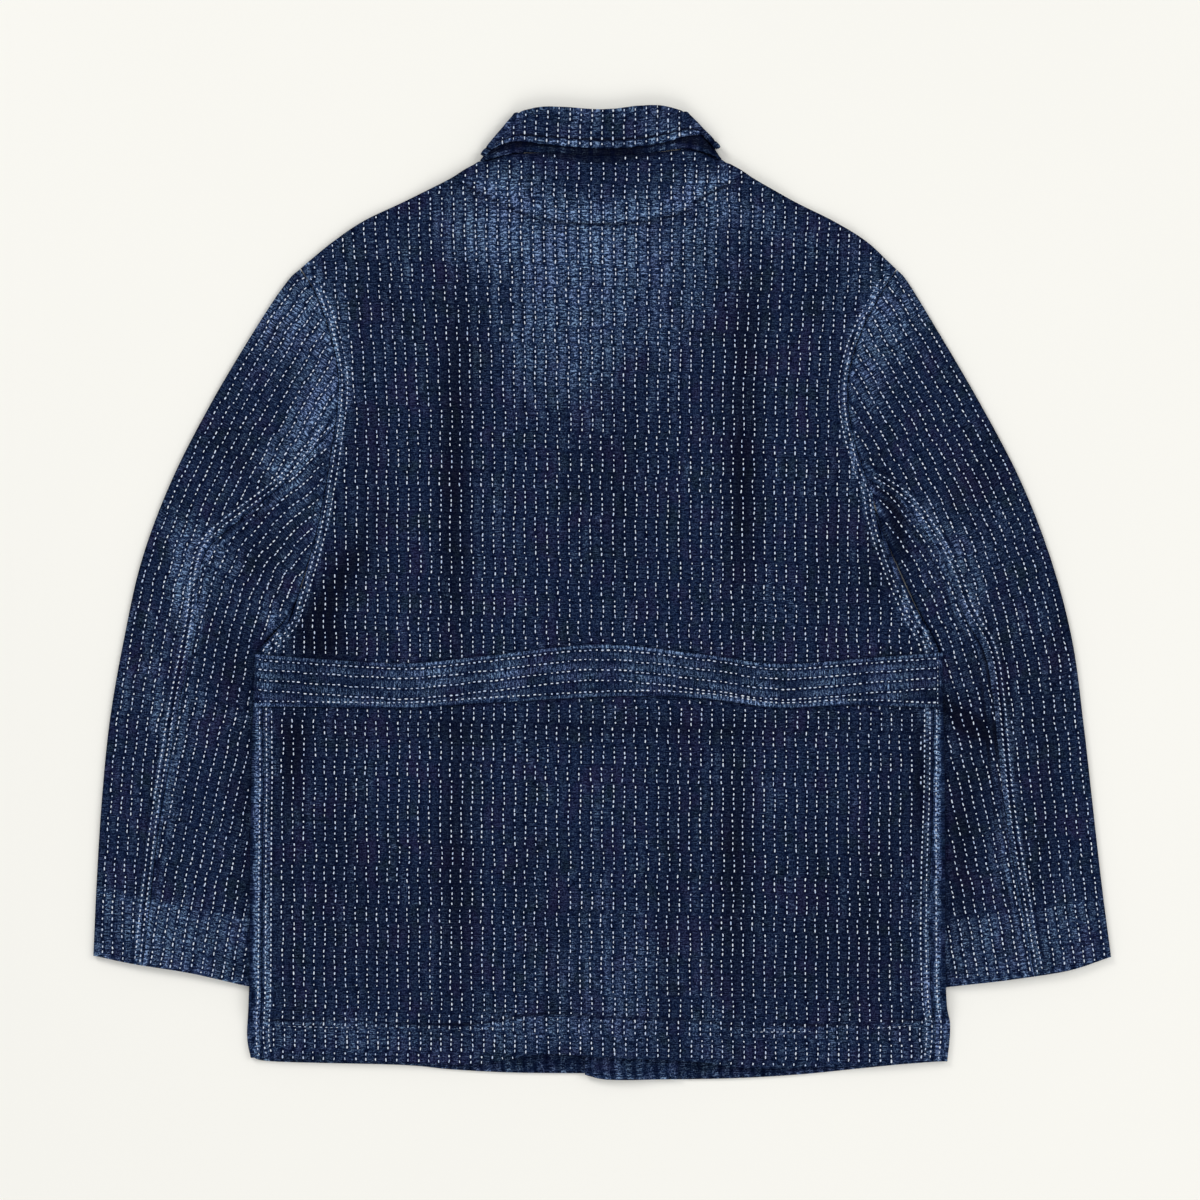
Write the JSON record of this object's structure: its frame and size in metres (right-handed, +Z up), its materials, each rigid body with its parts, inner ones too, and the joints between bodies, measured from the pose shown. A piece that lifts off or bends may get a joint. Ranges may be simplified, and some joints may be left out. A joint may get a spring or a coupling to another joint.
{
  "type": "sashiko-stitched indigo work jacket",
  "caption": "Indigo cotton work jacket stitched all over in white running stitch, laid flat and face down, with folded collar, two-piece sleeves and back belt.",
  "frame": {"origin": "on the surface the jacket lies on, under the middle of its outline", "axes": "+X towards the wearer's right sleeve, +Y towards the collar, +Z up from the surface, out of the back"},
  "size_m": [0.8256, 0.79, 0.0147],
  "materials": {
    "indigo_cloth": "deep indigo cotton with rows of white running stitch, faded along seams and folds",
    "button": "plain dark horn-like button"
  },
  "bodies": {
    "root": {"back": "indigo_cloth", "front_left": "indigo_cloth", "front_right": "indigo_cloth", "front_facing_right": "indigo_cloth", "sleeve_left_upper": "indigo_cloth", "sleeve_left_under": "indigo_cloth", "sleeve_right_upper": "indigo_cloth", "sleeve_right_under": "indigo_cloth", "collar": "indigo_cloth", "back_belt": "indigo_cloth", "button_1": "button", "button_2": "button", "button_3": "button", "button_4": "button", "button_5": "button"}
  },
  "joints": []
}
